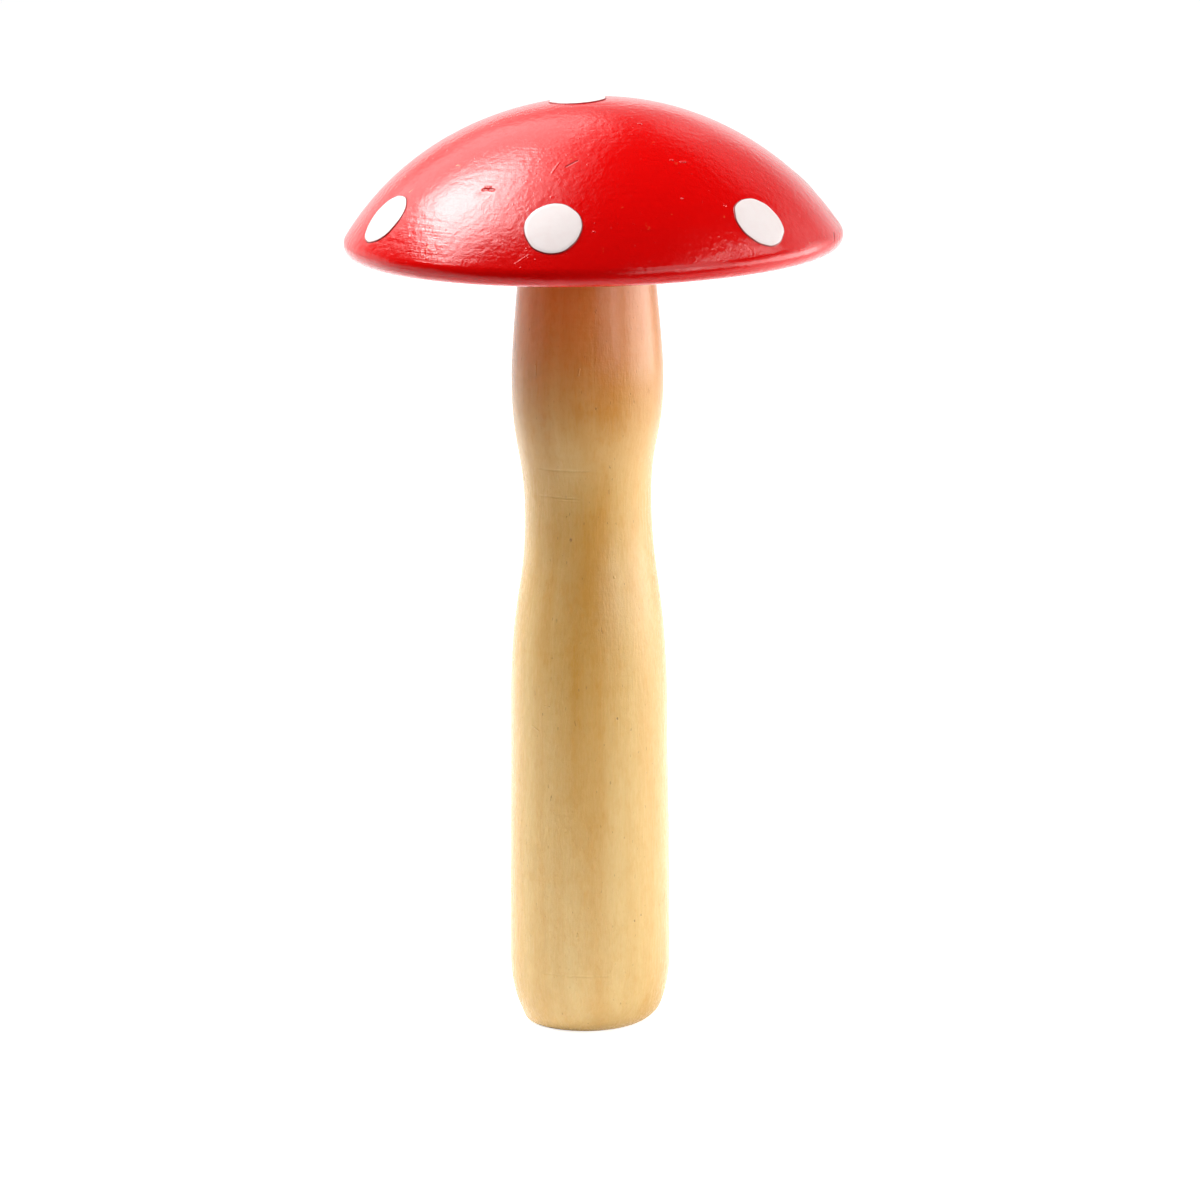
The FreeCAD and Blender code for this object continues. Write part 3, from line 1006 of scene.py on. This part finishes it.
def seenBy(tree):
    # Whether the camera looks, and whether a reflection or a refraction does; neither is light on the object.
    ray = addNode(tree, "ShaderNodeLightPath").outputs
    clear = calc(tree, "MAXIMUM", ray["Is Glossy Ray"], ray["Is Transmission Ray"])
    return ray["Is Camera Ray"], clear


def pastSweepEnd(tree, place):
    # 0 in front of the slanting line where the white sweep ends, and 1 behind it.
    axes = axesOf(tree, place)
    across = calc(tree, "MULTIPLY_ADD", axes[0], studio["slant"], axes[1])
    return ramped(tree, across, *studio["sweepEnd"])


def makeFloor():
    half = 8.0
    corners = [(-half, -half, 0), (half, -half, 0), (half, half, 0), (-half, half, 0)]
    mesh = bpy.data.meshes.new("studioFloor")
    mesh.from_pydata(corners, [], [(0, 1, 2, 3)])
    floor = linkedObject("studioFloor", mesh)
    material = bpy.data.materials.new("floorPaper")
    tree = clearedTree(material)
    position = addNode(tree, "ShaderNodeTexCoord").outputs["Object"]
    distance = vectorCalc(tree, "LENGTH", position)["Value"]
    far = ramped(tree, distance, *studio["floorReach"])
    forward = axesOf(tree, position)[1]
    lit = ramped(tree, forward, *studio["paperEnd"])
    # The paper's colour: a painted pool of light near the object, and painted shade in front of it.
    color = blended(tree, lit, studio["paperShade"], blended(tree, far, *studio["floorColors"]))
    paper = addNode(tree, "ShaderNodeBsdfDiffuse", {"Color": color})
    direct, clear = seenBy(tree)
    mirrored = calc(tree, "MULTIPLY", pastSweepEnd(tree, position), studio["mirroredGlow"])
    mirrored = calc(tree, "MULTIPLY", mirrored, clear)
    lift = ramped(tree, distance, *studio["floorReach"], *studio["floorGlows"])
    lift = calc(tree, "MAXIMUM", lift, ramped(tree, forward, *studio["paperEnd"], studio["shadeGlow"], 0.0))
    strength = calc(tree, "MULTIPLY_ADD", direct, lift, mirrored)
    glow = addNode(tree, "ShaderNodeEmission", {"Strength": strength})
    both = addNode(tree, "ShaderNodeAddShader", {0: paper.outputs[0], 1: glow.outputs[0]})
    addNode(tree, "ShaderNodeOutputMaterial", {"Surface": both.outputs[0]})
    mesh.materials.append(material)


def makeWorld():
    # White wherever the camera looks. Reflections see the same white sweep round the table, up to its top.
    world = bpy.data.worlds.new("softSurround")
    bpy.context.scene.world = world
    tree = clearedTree(world)
    direction = addNode(tree, "ShaderNodeTexCoord").outputs["Generated"]
    sweep = ramped(tree, axesOf(tree, direction)[2], *studio["sweepTop"], 1.0, 0.0)
    sweep = calc(tree, "MULTIPLY", sweep, pastSweepEnd(tree, direction))
    direct, clear = seenBy(tree)
    white = calc(tree, "MAXIMUM", direct, calc(tree, "MULTIPLY", clear, sweep))
    strength = calc(tree, "MULTIPLY_ADD", white, 1.0 - studio["fill"], studio["fill"])
    surround = addNode(tree, "ShaderNodeBackground", {"Color": (1, 1, 1, 1), "Strength": strength})
    addNode(tree, "ShaderNodeOutputWorld", {"Surface": surround.outputs[0]})


def turnedTo(across, back):
    # The rotation whose X runs across and whose Z runs back. A lamp or a camera looks along its own -Z.
    return Matrix((across, back.cross(across), back)).transposed().to_euler()


def makePanels():
    # Each panel looks from its place to its aim, with its Y along its long side.
    for name, place, aim, longWay, width, length, power in studio["panels"]:
        light = bpy.data.lights.new(name, "AREA")
        light.shape = "RECTANGLE"
        light.size = width
        light.size_y = length
        light.energy = power
        panel = linkedObject(name, light)
        back = (Vector(place) - Vector(aim)).normalized()
        panel.location = place
        panel.rotation_euler = turnedTo(Vector(longWay).cross(back).normalized(), back)
        panel.visible_camera = False


def makeCamera():
    # The camera sits on the measured line of sight, and is turned until the middle falls on its pixel.
    camera = bpy.data.cameras.new("productCamera")
    camera.lens = studio["lens"]
    camera.sensor_width = 36.0
    camera.clip_start = 0.05
    camera.clip_end = 30.0
    holder = linkedObject("productCamera", camera)
    elevation = math.radians(studio["elevation"])
    roll = math.radians(studio["roll"])
    level = Vector((1, 0, 0))
    upright = Vector((0, math.sin(elevation), math.cos(elevation)))
    rightward = level * math.cos(roll) - upright * math.sin(roll)
    upward = level * math.sin(roll) + upright * math.cos(roll)
    middle = Vector(studio["middle"])
    frameSize = 1200
    pixel = studio["distance"] * camera.sensor_width / camera.lens / frameSize
    holder.location = middle + Vector((0, -math.cos(elevation), math.sin(elevation))) * studio["distance"]
    aim = middle + rightward * (frameSize / 2 - studio["middlePixel"][0]) * pixel
    aim -= upward * (frameSize / 2 - studio["middlePixel"][1]) * pixel
    back = (holder.location - aim).normalized()
    holder.rotation_euler = turnedTo((rightward - back * rightward.dot(back)).normalized(), back)
    bpy.context.scene.camera = holder


makeFloor()
makeWorld()
makePanels()
makeCamera()
bpy.context.scene.view_settings.view_transform = "Standard"
print("studio lit")
